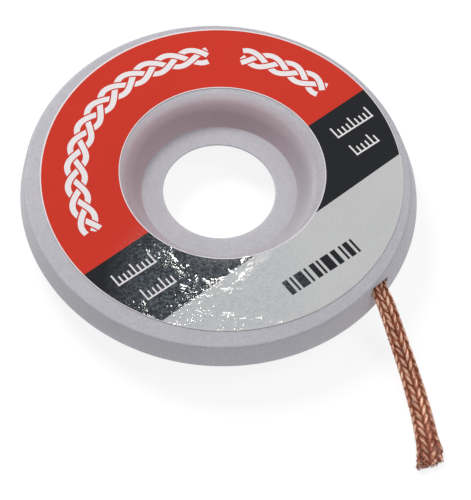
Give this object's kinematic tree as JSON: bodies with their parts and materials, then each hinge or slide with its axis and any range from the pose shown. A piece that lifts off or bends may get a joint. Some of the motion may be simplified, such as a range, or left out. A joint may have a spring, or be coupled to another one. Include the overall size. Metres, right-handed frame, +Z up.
{
  "type": "desoldering braid",
  "caption": "Flat copper desoldering braid wound in a round flat plastic bobbin, with a free end led out through a notch in the rim.",
  "frame": {"origin": "centre of the bobbin's underside, on the level surface it lies on", "axes": "+Z up along the bobbin's axis, towards the label; +Y away from the picture's viewer, +X to their right"},
  "size_m": [0.043, 0.0472, 0.0055],
  "materials": {
    "shell_plastic": "fine matte moulded",
    "label_film": "glossy printed film",
    "copper_braid": "bright woven copper wire"
  },
  "bodies": {
    "root": {"upper_shell": "shell_plastic", "lower_shell": "shell_plastic", "label": "label_film", "braid_coil": "copper_braid", "braid_tail": "copper_braid"}
  },
  "joints": []
}
